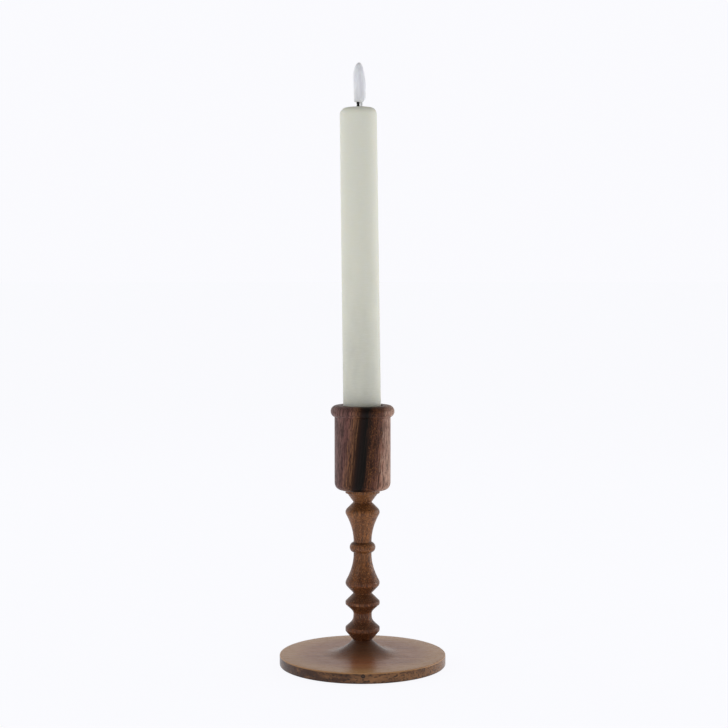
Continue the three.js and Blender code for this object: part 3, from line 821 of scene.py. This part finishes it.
class Finish(Tree):
    """A procedural material, built node by node."""

    def __init__(self, name, centre=(0, 0, 0), **shader):
        self.material = bpy.data.materials.new(name)
        self.material.use_nodes = True
        super().__init__(self.material.node_tree)
        self.shader = self.tree.nodes["Principled BSDF"]
        self.set(**shader)
        position = self.node("TexCoord")
        place, self.facing = position.outputs["Object"], position.outputs["Normal"]
        away = [-c / MM for c in centre]
        self.place = self.mapped(place, scale=(1 / MM,) * 3, location=away)

    def set(self, **sockets):
        """Sets or links shader sockets, whose names are written with _ for the spaces."""
        for name, value in sockets.items():
            self.feed(self.shader.inputs[name.replace("_", " ")], value)

    def mapped(self, place, scale=(1, 1, 1), rotation=(0, 0, 0), location=(0, 0, 0)):
        turn_by = [radians(angle) for angle in rotation]
        inputs = {"Vector": place, "Scale": scale, "Rotation": turn_by, "Location": location}
        return self.node("Mapping", inputs).outputs["Vector"]

    def noise(self, place, scale=1.0, detail=2.0, roughness=0.5, distortion=0.0):
        inputs = {"Vector": place, "Scale": scale, "Detail": detail, "Roughness": roughness}
        return self.node("TexNoise", {**inputs, "Distortion": distortion}).outputs["Fac"]

    def long_noise(self, place, scale, detail=2.0, roughness=0.5, distortion=0.0, away=(0, 0, 0)):
        """Noise with a scale for each direction, so that its features can be long in one."""
        return self.noise(self.mapped(place, scale, location=away), 1, detail, roughness, distortion)

    def range(self, value, low, high, to_low=0.0, to_high=1.0):
        inputs = {"Value": value, "From Min": low, "From Max": high, "To Min": to_low, "To Max": to_high}
        return self.node("MapRange", inputs, interpolation_type="SMOOTHSTEP").outputs["Result"]

    def bump(self, height, strength, depth):
        """Small relief: depth is its height in millimetres."""
        inputs = {"Height": height, "Strength": strength, "Distance": depth * MM}
        self.set(Normal=self.node("Bump", inputs).outputs["Normal"])


def paint(piece, finish):
    """Gives a piece that finish alone."""
    piece.data.materials.clear()
    piece.data.materials.append(finish.material)


# %% [markdown]
# ## Wood
#
# All wood is the same idea. Growth layers are slow bands across the trunk. Fibres are fine streaks
# along it, and pores are short dark dashes between them. All three are noise that has been stretched
# along the grain: a small scale along it makes long features, a large scale across it thin ones.
# What tells the three woods apart is the direction of the grain, the colours and how far each part
# shows, so one function makes the shared parts and each wood adds its own.

# %% Grain shared by all three woods
def grain(finish, place, fibre, pore, many=0.58):
    """Fibres and pores for a place whose Z runs along the grain: each a value from 0 to 1."""
    fine = finish.long_noise(place, fibre, detail=4, roughness=0.62)
    dashes = finish.long_noise(place, pore, detail=1, roughness=0.4)
    return finish.range(fine, 0.36, 0.64), finish.range(dashes, many, many + 0.07)


def wavy(finish, place, size, stretch, amount):
    """The place, shifted across by slow noise so that straight layers become natural ones."""
    slow = finish.long_noise(place, (1 / size, 1 / size, 1 / (size * stretch)), 1.5)
    shift = finish.math("MULTIPLY", finish.math("SUBTRACT", slow, 0.5), amount)
    moved = finish.node("CombineXYZ", {"X": shift, "Y": shift}).outputs["Vector"]
    return finish.node("VectorMath", {0: place, 1: moved}, operation="ADD").outputs["Vector"]


def toned(finish, colour, value, dark, light):
    """The colour, darkened where the value is 0 and lightened where it is 1."""
    return finish.mix(1.0, colour, finish.ramp(value, (0.0, (dark,) * 3), (1.0, (light,) * 3)), "MULTIPLY")


def speckled(finish, colour, mask, share, speck):
    """The colour with specks of another where the mask is 1, mixed in by that share."""
    return finish.mix(finish.math("MULTIPLY", mask, share), colour, speck)


def oiled(finish, fibres, pores, gloss=0.2, least=0.36, most=0.5):
    """The sheen of oiled wood: fibres and pores take the oil unevenly, and stand in slight relief."""
    rough = finish.range(fibres, 0.0, 1.0, most, least)
    finish.set(Roughness=finish.math("ADD", rough, finish.math("MULTIPLY", pores, 0.15)))
    finish.set(Specular_IOR_Level=gloss)
    relief = finish.math("SUBTRACT", fibres, finish.math("MULTIPLY", pores, 1.5))
    finish.bump(relief, 0.35, 0.03)


# %% [markdown]
# The stem is a warm, even brown wood with short dark flecks. It is golden under the cup and turns to a
# redder, darker brown towards its foot, partly its own tone and partly painted shade, with hardly any
# stripes.

# %% Stem wood
STEM_RED = (0.136, 0.041, 0.012)
STEM_GOLD = (0.228, 0.086, 0.025)
STEM_FLECK = (0.042, 0.014, 0.006)
STEM_GLINT = (0.540, 0.262, 0.110)


def stem_wood():
    finish = Finish("warm_brown_wood", centre=(0, 0, 0.06))
    place = wavy(finish, finish.mapped(finish.place, rotation=(2, -3, 0)), 14, 3, 8)
    height = finish.part(finish.place, "Z")
    patches = finish.long_noise(place, (0.12, 0.12, 0.03), 3)
    # partly painted shade: with height the wood turns darker and redder towards the foot, besides its own
    # patches
    tone_and_painted_shade = finish.math("MULTIPLY_ADD", height, 0.005, patches)
    colour = finish.mix(finish.range(tone_and_painted_shade, 0.25, 0.85), STEM_RED, STEM_GOLD)
    layers = finish.long_noise(place, (0.5, 0.25, 0.02), 2)
    colour = toned(finish, colour, finish.range(layers, 0.35, 0.65), 0.78, 1.16)
    fibres, pores = grain(finish, place, (1.9, 1.9, 0.20), (2.5, 2.5, 0.50), many=0.54)
    colour = toned(finish, colour, fibres, 0.60, 1.36)
    end_grain = finish.math("ABSOLUTE", finish.part(finish.facing, "Z"))
    colour = toned(finish, colour, finish.range(end_grain, 0.35, 0.85), 1.0, 0.62)
    glints = finish.long_noise(place, (2.1, 2.1, 0.5), 1, away=(7, 3, 5))
    colour = speckled(finish, colour, finish.range(glints, 0.56, 0.64), 0.32, STEM_GLINT)
    colour = speckled(finish, colour, pores, 0.68, STEM_FLECK)
    finish.set(Base_Color=colour)
    oiled(finish, fibres, pores, 0.26, 0.25, 0.38)
    return finish


# %% [markdown]
# The base is a flat board with its grain from side to side. Its top is finely lined, and seen almost
# edge on it takes a soft grey sheen from the light behind it, over an orange-brown wood. Around the
# boss the top is painted darker, a painted shade and reflection of the stem, and towards its edge it
# takes a painted highlight of lighter gold. Its rim cuts through the board: it is darker, mottled with
# pores, painted darker towards its left as painted shade, has one small knot at the front and ends in a
# thin dark line at the bottom, which is a painted contact shadow.

# %% Base wood
BASE_BROWN = (0.340, 0.128, 0.062)
BASE_LIGHT = (0.440, 0.190, 0.088)
BASE_GOLD_PAINTED_HIGHLIGHT = (0.620, 0.350, 0.150)
RIM_DARK = (0.060, 0.022, 0.009)
RIM_BROWN = (0.230, 0.105, 0.040)
BASE_PORE = (0.022, 0.010, 0.005)
CONTACT_SHADOW_FROM, CONTACT_SHADOW_TO = 0.3, 1.1
KNOT_SIDE = 0.3
KNOT_BELOW_RIM = 1.7
KNOT_RADIUS = 0.75
KNOT_LINE = 0.25
KNOT_BLUR = 0.4


def knot(finish):
    """A small dark ring at the front of the rim: 1 on the ring, 0 away from it."""
    middle = (KNOT_SIDE, -BASE_RADIUS, disc_top - KNOT_BELOW_RIM)
    far = finish.node("VectorMath", {0: finish.place, 1: middle}, operation="DISTANCE").outputs["Value"]
    off = finish.math("ABSOLUTE", finish.math("SUBTRACT", far, KNOT_RADIUS))
    return finish.range(off, KNOT_LINE + KNOT_BLUR, KNOT_LINE)


def rim_wood(finish, place):
    """The wood of the disc's edge, mottled, with painted shade that darkens it towards its left."""
    side = finish.part(finish.place, "X")
    blots = finish.long_noise(place, (0.25, 0.25, 0.07), 3, 0.6)
    # painted shade: the colour darkens steadily towards the rim's left side, over its own blots
    blots_and_painted_side_shade = finish.math("MULTIPLY_ADD", side, 0.004, blots)
    colour = finish.mix(finish.range(blots_and_painted_side_shade, 0.32, 0.68), RIM_DARK, RIM_BROWN)
    spots = finish.long_noise(place, (1.1, 1.1, 0.5), 2, 0.6)
    return speckled(finish, colour, finish.range(spots, 0.55, 0.60), 0.85, BASE_PORE)


def base_wood():
    finish = Finish("board_wood")
    along = finish.mapped(finish.place, rotation=(0, 90, 3))
    place = wavy(finish, along, 30, 4, 5)
    layers = finish.long_noise(place, (0.5, 0.11, 0.008), 3)
    colour = finish.mix(finish.range(layers, 0.3, 0.7), BASE_BROWN, BASE_LIGHT)
    fibres, pores = grain(finish, place, (1.6, 1.6, 0.035), (2.6, 2.6, 0.25), many=0.6)
    colour = toned(finish, colour, fibres, 0.86, 1.12)
    colour = speckled(finish, colour, pores, 0.25, BASE_PORE)
    flat = finish.mapped(finish.place, scale=(1, 1, 0))
    radius = finish.node("VectorMath", {0: flat}, operation="LENGTH").outputs["Value"]
    # painted shade and reflection: the top darkens towards the boss, where the stem would shade and mirror it
    colour = toned(finish, colour, finish.range(radius, 7, 27), 0.24, 1.0)
    # painted highlight: a lighter gold towards the top's outer edge, where the rim catches the light
    colour = speckled(finish, colour, finish.range(radius, 30, 46), 0.6, BASE_GOLD_PAINTED_HIGHLIGHT)
    height = finish.part(finish.place, "Z")
    below = finish.range(height, disc_top - 0.25, disc_top - 0.75)
    colour = finish.mix(below, colour, toned(finish, rim_wood(finish, place), fibres, 0.8, 1.2))
    # painted contact shadow: the rim darkens in a thin line at its bottom, next to the floor
    painted_contact_shadow = finish.range(height, wood_bottom + CONTACT_SHADOW_FROM, wood_bottom + CONTACT_SHADOW_TO)
    colour = toned(finish, colour, painted_contact_shadow, 0.5, 1.0)
    colour = speckled(finish, colour, knot(finish), 1.0, BASE_PORE)
    finish.set(Base_Color=colour)
    oiled(finish, fibres, pores, 0.27, 0.26, 0.32)
    return finish


# %% [markdown]
# The cup is walnut with strong figure. Its growth layers are flat sheets that stand almost upright and
# lean a little to the right, so they are drawn as one ramp of colours across the cup: greyish brown,
# golden streaks, a near-black layer, mottled brown, and light sapwood at the right. Because the
# sheets pass right through the wood, the back and the bore show them too.

# %% Cup wood
CUP_LAYERS = (
    (0.00, (0.150, 0.074, 0.064)),
    (0.13, (0.136, 0.066, 0.057)),
    (0.20, (0.115, 0.050, 0.043)),
    (0.26, (0.140, 0.064, 0.048)),
    (0.32, (0.115, 0.047, 0.025)),
    (0.38, (0.036, 0.012, 0.005)),
    (0.44, (0.010, 0.004, 0.003)),
    (0.54, (0.004, 0.003, 0.002)),
    (0.58, (0.022, 0.008, 0.004)),
    (0.66, (0.060, 0.020, 0.009)),
    (0.76, (0.085, 0.033, 0.022)),
    (0.84, (0.215, 0.097, 0.065)),
    (0.92, (0.300, 0.160, 0.112)),
    (1.00, (0.360, 0.205, 0.145)),
)
CUP_LEAN = 6.5
GOLD_STREAK = (0.300, 0.140, 0.062)
PALE_STREAK = (0.520, 0.340, 0.245)
MOTTLE = (0.230, 0.092, 0.030)
CUP_PORE = (0.010, 0.005, 0.004)


def streaks(finish, place, share, low, high):
    """Thin lines along the grain, kept to the sheets between two shares of the cup's width."""
    lines = finish.long_noise(place, (1.9, 1.9, 0.016), 2, away=(low, high, 0))
    after = finish.range(share, low, low + 0.05)
    before = finish.range(share, high, high - 0.05)
    inside = finish.math("MULTIPLY", after, before)
    return finish.math("MULTIPLY", finish.range(lines, 0.52, 0.60), inside)


def cup_wood():
    centre = (0, 0, (cup_low.z + cup_high.z) / 2)
    finish = Finish("figured_walnut", centre=centre)
    upright = finish.mapped(finish.place, rotation=(0, -CUP_LEAN, 0))
    place = wavy(finish, upright, 11, 7, 2.2)
    across = finish.part(place, "X")
    share = finish.math("MULTIPLY_ADD", across, 0.5 / (CUP_RADIUS + 0.5), 0.5)
    fibres, pores = grain(finish, place, (1.5, 1.5, 0.035), (2.6, 2.6, 0.45), many=0.57)
    moved = finish.math("MULTIPLY_ADD", finish.math("SUBTRACT", fibres, 0.5), 0.05, share)
    colour = finish.ramp(moved, *CUP_LAYERS, soft=True)
    colour = toned(finish, colour, fibres, 0.45, 1.55)
    colour = speckled(finish, colour, streaks(finish, place, share, 0.20, 0.40), 0.55, GOLD_STREAK)
    colour = speckled(finish, colour, streaks(finish, place, share, 0.78, 1.1), 0.5, PALE_STREAK)
    flecks = finish.long_noise(place, (1.7, 1.7, 0.75), 2, 0.7, 0.8)
    zone = finish.math("MULTIPLY", finish.range(share, 0.56, 0.64), finish.range(share, 0.88, 0.76))
    mottled = finish.math("MULTIPLY", finish.range(flecks, 0.54, 0.62), zone)
    colour = speckled(finish, colour, mottled, 0.75, MOTTLE)
    colour = speckled(finish, colour, pores, 0.5, CUP_PORE)
    finish.set(Base_Color=colour)
    oiled(finish, fibres, pores, 0.12, 0.34, 0.48)
    return finish


# %% Paint the wood
paint(base, base_wood())
paint(stem, stem_wood())
paint(cup, cup_wood())
print("three woods painted")

# %% [markdown]
# ## Wax, flame and felt
#
# Wax lets light in a little way and scatters it, which is what subsurface scattering does: it softens
# the shading and warms the middle. The surface is matt, with fine level ridges from the mould, and is
# painted greyer towards its bottom, which is painted shade. The flame is frosted plastic, cooler and a
# little clearer. Felt is fibres in every direction, so it is rough, mottled at two scales, and has a
# sheen at its edges.

# %% Soft and milky finishes
IVORY = (0.83, 0.825, 0.70)
IVORY_PAINTED_SHADE = (0.300, 0.315, 0.300)
IVORY_BLOOM = (0.9, 0.9, 0.86)
PAINTED_SHADE_PER_MM = 0.004
CLOUD_SHARE = 0.3
FLAME_SHADE = (0.80, 0.795, 0.835)
FLAME_LIGHT = (0.90, 0.92, 0.95)
FELT_DARK = (0.022, 0.022, 0.021)
FELT_GREY = (0.085, 0.083, 0.080)
FELT_CLUMP = (0.10, 0.097, 0.092)
CHAR = (0.012, 0.011, 0.010)


def wax_finish():
    finish = Finish("ivory_wax", Subsurface_Weight=0.25, Subsurface_Scale=0.004, Roughness=0.48)
    finish.set(Subsurface_Radius=(1.0, 0.8, 0.5), Specular_IOR_Level=0.25)
    height = finish.part(finish.place, "Z")
    clouds = finish.long_noise(finish.place, (0.12, 0.12, 0.05), 3)
    # painted shade: the wax turns greyer towards its bottom, with cloudy patches of its own tone mixed in
    painted_shade_and_clouds = finish.math("MULTIPLY_ADD", height, -PAINTED_SHADE_PER_MM, finish.math("MULTIPLY", clouds, CLOUD_SHARE))
    colour = finish.mix(finish.range(painted_shade_and_clouds, -0.90, 0.15), IVORY, IVORY_PAINTED_SHADE)
    ridges = finish.long_noise(finish.place, (0.25, 0.25, 2.2), 3, 0.6)
    bloom = finish.long_noise(finish.place, (1.6, 1.6, 1.6), 3, 0.7)
    colour = finish.mix(finish.range(ridges, 0.4, 0.75, 0, 0.18), colour, IVORY_BLOOM)
    finish.set(Base_Color=colour, Roughness=finish.range(bloom, 0.3, 0.7, 0.42, 0.58))
    finish.bump(finish.math("ADD", ridges, finish.math("MULTIPLY", bloom, 0.6)), 0.4, 0.09)
    return finish


def flame_finish():
    finish = Finish("frosted_plastic", Subsurface_Weight=0.7, Subsurface_Scale=0.003)
    finish.set(Subsurface_Radius=(0.9, 0.95, 1.0), Roughness=0.4)
    streaks = finish.long_noise(finish.place, (0.9, 0.9, 0.08), 2)
    frost = finish.noise(finish.place, 2.5, 3)
    colour = finish.mix(finish.range(streaks, 0.35, 0.65), FLAME_SHADE, FLAME_LIGHT)
    finish.set(Base_Color=colour, Roughness=finish.range(frost, 0.3, 0.7, 0.34, 0.5))
    finish.bump(finish.math("ADD", streaks, finish.math("MULTIPLY", frost, 0.3)), 0.4, 0.08)
    return finish


def felt_finish():
    finish = Finish("grey_felt", Roughness=0.95, Sheen_Weight=0.35, Sheen_Roughness=0.6)
    hairs = finish.noise(finish.place, 2.2, 5, 0.75, 2.0)
    clumps = finish.noise(finish.place, 0.35, 2)
    colour = finish.ramp(hairs, (0.3, FELT_DARK), (0.7, FELT_GREY))
    colour = finish.mix(finish.range(clumps, 0.4, 0.7, 0, 0.3), colour, FELT_CLUMP)
    finish.set(Base_Color=colour)
    finish.bump(hairs, 0.6, 0.2)
    return finish


def wick_finish():
    finish = Finish("charred_cotton", Roughness=0.8)
    strands = finish.noise(finish.mapped(finish.place, scale=(1.5, 1.5, 1.5), rotation=(0, 35, 0)), 3, 3)
    finish.set(Base_Color=finish.ramp(strands, (0.3, (0.003,) * 3), (0.8, CHAR)))
    finish.bump(strands, 0.5, 0.08)
    return finish


paint(wax, wax_finish())
paint(flame, flame_finish())
paint(felt, felt_finish())
paint(wick, wick_finish())

# %% [markdown]
# ## The hidden parts
#
# The batteries, the board and the leads are inside the candle, but they keep their CAD shapes and
# still deserve a true finish: brushed metal has fine rings, moulded plastic a slight grain and a
# board a weave of glass. A CAD object is never changed, it only gets its material.

# %% Plastic, metal and board
JACKET_DARK = (0.030, 0.045, 0.040)
JACKET_LIGHT = (0.045, 0.065, 0.058)
JACKET_BAND = (0.42, 0.24, 0.06)
JACKET_STEEL = (0.58, 0.58, 0.6)
BAND_FROM = 37.9
STEEL_FROM = 49.1
PRINT_EDGE = 0.2
BOARD_DARK = (0.012, 0.085, 0.035)
BOARD_LIGHT = (0.02, 0.13, 0.055)


def plastic(name, colour, roughness=0.4, grain_size=1.5):
    """Moulded plastic: an even colour with a faint orange-peel grain."""
    finish = Finish(name)
    peel = finish.noise(finish.place, 1 / grain_size, 3)
    lighter = tuple(min(1.0, 1.08 * part + 0.004) for part in colour)
    finish.set(Base_Color=finish.mix(finish.range(peel, 0.35, 0.65), colour, lighter))
    finish.set(Roughness=finish.range(peel, 0.3, 0.7, roughness - 0.05, roughness + 0.08))
    finish.bump(peel, 0.15, 0.04)
    return finish


def metal(name, colour, roughness=0.28):
    """Drawn or stamped metal: brushed across its length, a little stained."""
    finish = Finish(name, Metallic=1.0)
    brush = finish.long_noise(finish.place, (0.4, 0.4, 9), 3)
    stain = finish.noise(finish.place, 0.5, 3)
    darker = tuple(0.78 * part for part in colour)
    finish.set(Base_Color=finish.mix(finish.range(stain, 0.4, 0.7), colour, darker))
    finish.set(Roughness=finish.range(brush, 0.3, 0.7, roughness - 0.08, roughness + 0.14))
    finish.bump(brush, 0.2, 0.02)
    return finish


def battery_finish(name):
    """A printed jacket in two plain colours, with a bare steel end at the top."""
    finish = Finish(name, centre=tuple(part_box(name)[0]))
    height = finish.part(finish.place, "Z")
    sheen = finish.noise(finish.place, 0.3, 2)
    jacket = finish.ramp(sheen, (0.3, JACKET_DARK), (0.7, JACKET_LIGHT))
    band = finish.mix(finish.range(height, BAND_FROM, BAND_FROM + PRINT_EDGE), jacket, JACKET_BAND)
    steel = finish.range(height, STEEL_FROM, STEEL_FROM + PRINT_EDGE)
    finish.set(Base_Color=finish.mix(steel, band, JACKET_STEEL), Metallic=steel, Roughness=0.33)
    return finish


def board_finish():
    finish = Finish("green_board", Roughness=0.42)
    weave = finish.node("TexChecker", {"Vector": finish.place, "Scale": 2.0}).outputs["Fac"]
    soft = finish.noise(finish.place, 0.8, 2)
    finish.set(Base_Color=finish.ramp(soft, (0.3, BOARD_DARK), (0.7, BOARD_LIGHT)))
    finish.bump(weave, 0.1, 0.02)
    return finish


# %% Dress the CAD nodes that stay
WHITE_PLASTIC = (0.78, 0.76, 0.70)
cap_finish = plastic("ivory_cap_plastic", WHITE_PLASTIC, 0.42)
paint(cap, cap_finish)

STAYING = {
    "base_screw": metal("zinc_steel", (0.62, 0.62, 0.64)),
    "body_tube": plastic("white_tube_plastic", (0.80, 0.79, 0.75)),
    "flame_holder": plastic("white_holder_plastic", (0.80, 0.79, 0.75)),
    "lower_battery": battery_finish("lower_battery"),
    "upper_battery": battery_finish("upper_battery"),
    "positive_contact": metal("stamped_brass", (0.72, 0.50, 0.20)),
    "contact_spring": metal("spring_steel", (0.56, 0.56, 0.58), 0.22),
    "circuit_board": board_finish(),
    "timer_chip": plastic("black_chip", (0.012, 0.012, 0.013), 0.5, 0.6),
    "led_wire_red": plastic("red_lead", (0.42, 0.03, 0.02), 0.38, 0.8),
    "led_wire_black": plastic("black_lead", (0.014, 0.014, 0.015), 0.38, 0.8),
    "led": plastic("led_lens", (0.80, 0.78, 0.62), 0.15, 0.8),
    "switch_knob": plastic("black_switch", (0.013, 0.013, 0.014), 0.45, 0.6),
}
for name, finish in STAYING.items():
    paint(nodes[name], finish)
print("CAD nodes dressed:", len(STAYING))

# %% [markdown]
# ## The studio
#
# A white sweep, bright behind the object and at its sides and dimmer where the camera stands. That is
# what gives a polished thing bright edges and a deep middle. The floor glows by itself, so it stays
# white to the horizon and only the faintest shadow shows.

# %% Floor
FLOOR_RADIUS = 30
FLOOR_DIFFUSE = 0.10
FLOOR_GLOW = 0.934
FLOOR_TINT = (0.980, 0.982, 1.015)


def studio_floor():
    deselect_all()
    bpy.ops.mesh.primitive_circle_add(vertices=128, radius=FLOOR_RADIUS, fill_type="NGON")
    floor = bpy.context.object
    floor.name = "studio_floor"
    finish = Finish("white_floor", Roughness=1.0, Specular_IOR_Level=0.0)
    finish.set(Base_Color=(*(FLOOR_DIFFUSE,) * 3, 1))
    finish.set(Emission_Color=(*FLOOR_TINT, 1), Emission_Strength=FLOOR_GLOW)
    paint(floor, finish)
    return floor


floor = studio_floor()

# %% Surroundings
BACKDROP = (0.960, 0.960, 0.992)
SKY_STOPS = [(place, (grey,) * 3) for place, grey in ((0, 0.58), (0.25, 0.6), (0.5, 0.74), (0.75, 1), (1, 1))]
HEIGHT_STOPS = [(place, (grey,) * 3) for place, grey in ((0, 1), (0.5, 1), (0.75, 0.55), (1, 0.3))]


def surroundings():
    world = bpy.data.worlds.new("studio")
    bpy.context.scene.world = world
    world.use_nodes = True
    world.node_tree.nodes.clear()
    studio = Tree(world.node_tree)
    way = studio.node("TexCoord").outputs["Generated"]
    lights = []
    for axis, stops in (("Y", SKY_STOPS), ("Z", HEIGHT_STOPS)):
        share = studio.math("MULTIPLY_ADD", studio.part(way, axis), 0.5, 0.5)
        lights.append(studio.ramp(share, *stops))
    light = studio.node("Background", {"Color": studio.mix(1.0, *lights, "MULTIPLY")}).outputs[0]
    plain = studio.node("Background", {"Color": (*BACKDROP, 1)}).outputs[0]
    seen = studio.node("LightPath").outputs["Is Camera Ray"]
    either = studio.node("MixShader", {0: seen, 1: light, 2: plain}).outputs[0]
    studio.node("OutputWorld", {"Surface": either})


surroundings()

# %% Lamps
LAMPS = {
    "right_rear": ((1.1, 0.5, 0.25), 0.9, 2.2),
    "left_rear": ((-1.1, 0.7, 0.55), 0.9, 1.5),
    "left_front": ((-1.2, -0.9, 0.7), 0.2, 1.5),
    "right_low": ((0.55, 0.12, 0.06), 0.16, 0.3),
}
LAMP_AIM = Vector((0, 0, 0.16))

for name, (spot, size, power) in LAMPS.items():
    lamp = bpy.data.lights.new(name, "AREA")
    lamp.shape = "DISK"
    lamp.size = size
    lamp.energy = power
    holder = bpy.data.objects.new(name, lamp)
    holder.location = spot
    holder.rotation_euler = (LAMP_AIM - Vector(spot)).to_track_quat("-Z", "Y").to_euler()
    holder.visible_camera = False
    bpy.context.scene.collection.objects.link(holder)
bpy.context.scene.view_settings.view_transform = "Standard"
print("lamps:", len(LAMPS))

# %% [markdown]
# ## Keep the sizes and finish
#
# The box of the whole object must be what the CAD says. Last, the scene is brought up to date.

# %% Sizes and the last line
bpy.context.view_layer.update()
